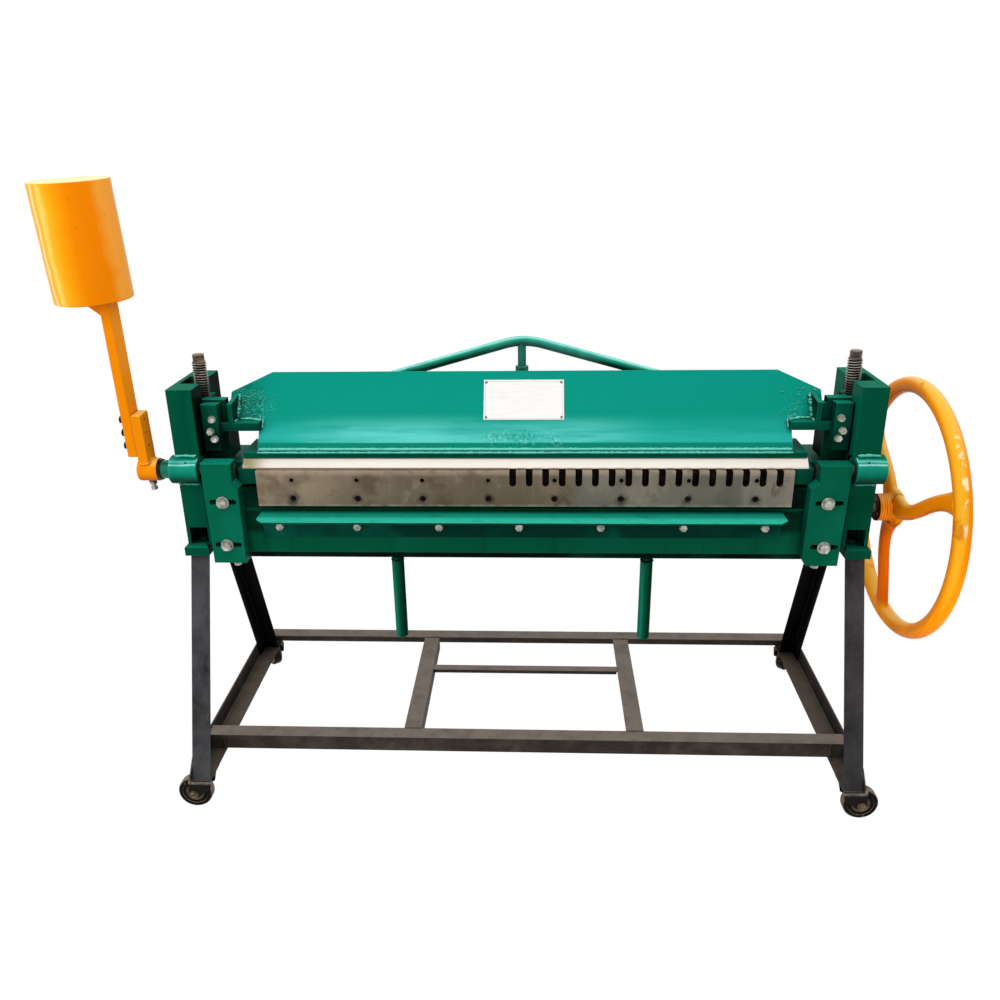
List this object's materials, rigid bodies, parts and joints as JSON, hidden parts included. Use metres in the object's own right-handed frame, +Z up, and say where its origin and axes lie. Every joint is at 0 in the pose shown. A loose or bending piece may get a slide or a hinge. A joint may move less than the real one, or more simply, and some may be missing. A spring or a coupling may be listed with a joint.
{
  "type": "duct flange forming machine",
  "caption": "Manual duct flange folder: notched bending leaf with counterweight, screw-clamped upper beam, handwheel drive and castered angle-iron stand.",
  "frame": {"origin": "Centre of the footprint's bounding box, on the floor.", "axes": "X along the bend line to the operator's right, Y from the operator to the back, Z up."},
  "size_m": [1.9658, 0.7536, 1.5047],
  "materials": {
    "green_paint": "glossy enamel",
    "orange_paint": "glossy enamel",
    "dark_frame_paint": "semi-matt",
    "rusted_angle_iron": "mill scale with light rust",
    "ground_steel": "ground, stained",
    "zinc_plated": "zinc plated",
    "black_oxide": "black oxide",
    "plate_aluminium": "printed white, bare",
    "caster_steel": "dirty pressed steel",
    "caster_rubber": "worn rubber"
  },
  "bodies": {
    "frame": {"column_left": "green_paint", "column_right": "green_paint", "hinge_boss_left": "green_paint", "hinge_boss_right": "green_paint", "foot_bolts": "green_paint", "bed": "green_paint", "shaft_bearing": "green_paint", "leg_front_left": "dark_frame_paint", "leg_front_right": "dark_frame_paint", "leg_rear_left": "dark_frame_paint", "leg_rear_right": "dark_frame_paint", "side_rail_left": "rusted_angle_iron", "side_rail_right": "rusted_angle_iron", "rail_front": "rusted_angle_iron", "rail_rear": "rusted_angle_iron", "cross_bar_left": "rusted_angle_iron", "cross_bar_right": "rusted_angle_iron", "middle_bar": "rusted_angle_iron"},
    "beam": {"beam_face": "green_paint", "beam_base": "green_paint", "clamp_strip": "ground_steel", "truss": "green_paint", "name_plate": "plate_aluminium", "slide_left": "green_paint", "slide_right": "green_paint", "slide_cover_left": "green_paint", "slide_cover_right": "green_paint", "cover_bolts": "zinc_plated"},
    "screw_left": {"lead_screw_left": "ground_steel"},
    "screw_right": {"lead_screw_right": "ground_steel"},
    "drive": {"cross_shaft": "ground_steel", "shaft_gear_left": "ground_steel", "shaft_gear_right": "ground_steel", "handwheel": "orange_paint"},
    "leaf": {"leaf_plate": "green_paint", "blade": "ground_steel", "blade_screws": "black_oxide", "leaf_angle": "green_paint", "leaf_angle_bolts": "zinc_plated", "hinge_arm_left": "green_paint", "hinge_arm_right": "green_paint", "hinge_arm_bolts": "zinc_plated", "arm_stop_screws": "zinc_plated", "hinge_shaft_left": "ground_steel", "hinge_shaft_right": "ground_steel", "leaf_handle_left": "green_paint", "leaf_handle_right": "green_paint", "weight_hub": "orange_paint", "weight_hub_screw": "zinc_plated", "weight_arm": "orange_paint", "weight_arm_bolts": "black_oxide", "weight": "orange_paint"},
    "fork_front_left": {"caster_fork_front_left": "caster_steel"},
    "wheel_front_left": {"caster_wheel_front_left": "caster_rubber"},
    "fork_front_right": {"caster_fork_front_right": "caster_steel"},
    "wheel_front_right": {"caster_wheel_front_right": "caster_rubber"},
    "fork_rear_left": {"caster_fork_rear_left": "caster_steel"},
    "wheel_rear_left": {"caster_wheel_rear_left": "caster_rubber"},
    "fork_rear_right": {"caster_fork_rear_right": "caster_steel"},
    "wheel_rear_right": {"caster_wheel_rear_right": "caster_rubber"}
  },
  "joints": [
    {"name": "beam_lift", "type": "slide", "parent": "frame", "child": "beam", "axis": [0, 0, 1], "range_m": [0, 0.05]},
    {"name": "drive_turn", "type": "hinge", "parent": "frame", "child": "drive", "pos_m": [0.03798, -0.0618, 0.716], "axis": [1, 0, 0], "range_deg": [-3010, 5]},
    {"name": "screw_right_turn", "type": "hinge", "parent": "frame", "child": "screw_right", "pos_m": [0.80098, -0.0618, 0.846], "axis": [0, 0, 1], "range_deg": [-3010, 5]},
    {"name": "screw_left_turn", "type": "hinge", "parent": "frame", "child": "screw_left", "pos_m": [-0.72502, -0.0618, 0.846], "axis": [0, 0, 1], "range_deg": [-5, 3010]},
    {"name": "leaf_swing", "type": "hinge", "parent": "frame", "child": "leaf", "pos_m": [0.03798, -0.1498, 0.846], "axis": [-1, 0, 0], "range_deg": [0, 105]},
    {"name": "swivel_front_left", "type": "hinge", "parent": "frame", "child": "fork_front_left", "pos_m": [-0.75402, -0.3098, 0.09], "axis": [0, 0, 1], "continuous": true},
    {"name": "roll_front_left", "type": "hinge", "parent": "fork_front_left", "child": "wheel_front_left", "pos_m": [-0.78402, -0.3098, 0.0425], "axis": [0, 1, 0], "continuous": true},
    {"name": "swivel_front_right", "type": "hinge", "parent": "frame", "child": "fork_front_right", "pos_m": [0.82998, -0.3098, 0.09], "axis": [0, 0, 1], "continuous": true},
    {"name": "roll_front_right", "type": "hinge", "parent": "fork_front_right", "child": "wheel_front_right", "pos_m": [0.85998, -0.3098, 0.0425], "axis": [0, 1, 0], "continuous": true},
    {"name": "swivel_rear_left", "type": "hinge", "parent": "frame", "child": "fork_rear_left", "pos_m": [-0.75402, 0.3152, 0.09], "axis": [0, 0, 1], "continuous": true},
    {"name": "roll_rear_left", "type": "hinge", "parent": "fork_rear_left", "child": "wheel_rear_left", "pos_m": [-0.7733, 0.33818, 0.0425], "axis": [0.766, 0.6428, 0], "continuous": true},
    {"name": "swivel_rear_right", "type": "hinge", "parent": "frame", "child": "fork_rear_right", "pos_m": [0.82998, 0.3152, 0.09], "axis": [0, 0, 1], "continuous": true},
    {"name": "roll_rear_right", "type": "hinge", "parent": "fork_rear_right", "child": "wheel_rear_right", "pos_m": [0.84927, 0.33818, 0.0425], "axis": [-0.766, 0.6428, 0], "continuous": true}
  ],
  "couplings": [
    {"joint": "screw_right_turn", "follows": "beam_lift", "rad_per_m": -1047.2},
    {"joint": "drive_turn", "follows": "beam_lift", "rad_per_m": -1047.2},
    {"joint": "screw_left_turn", "follows": "beam_lift", "rad_per_m": 1047.2}
  ]
}
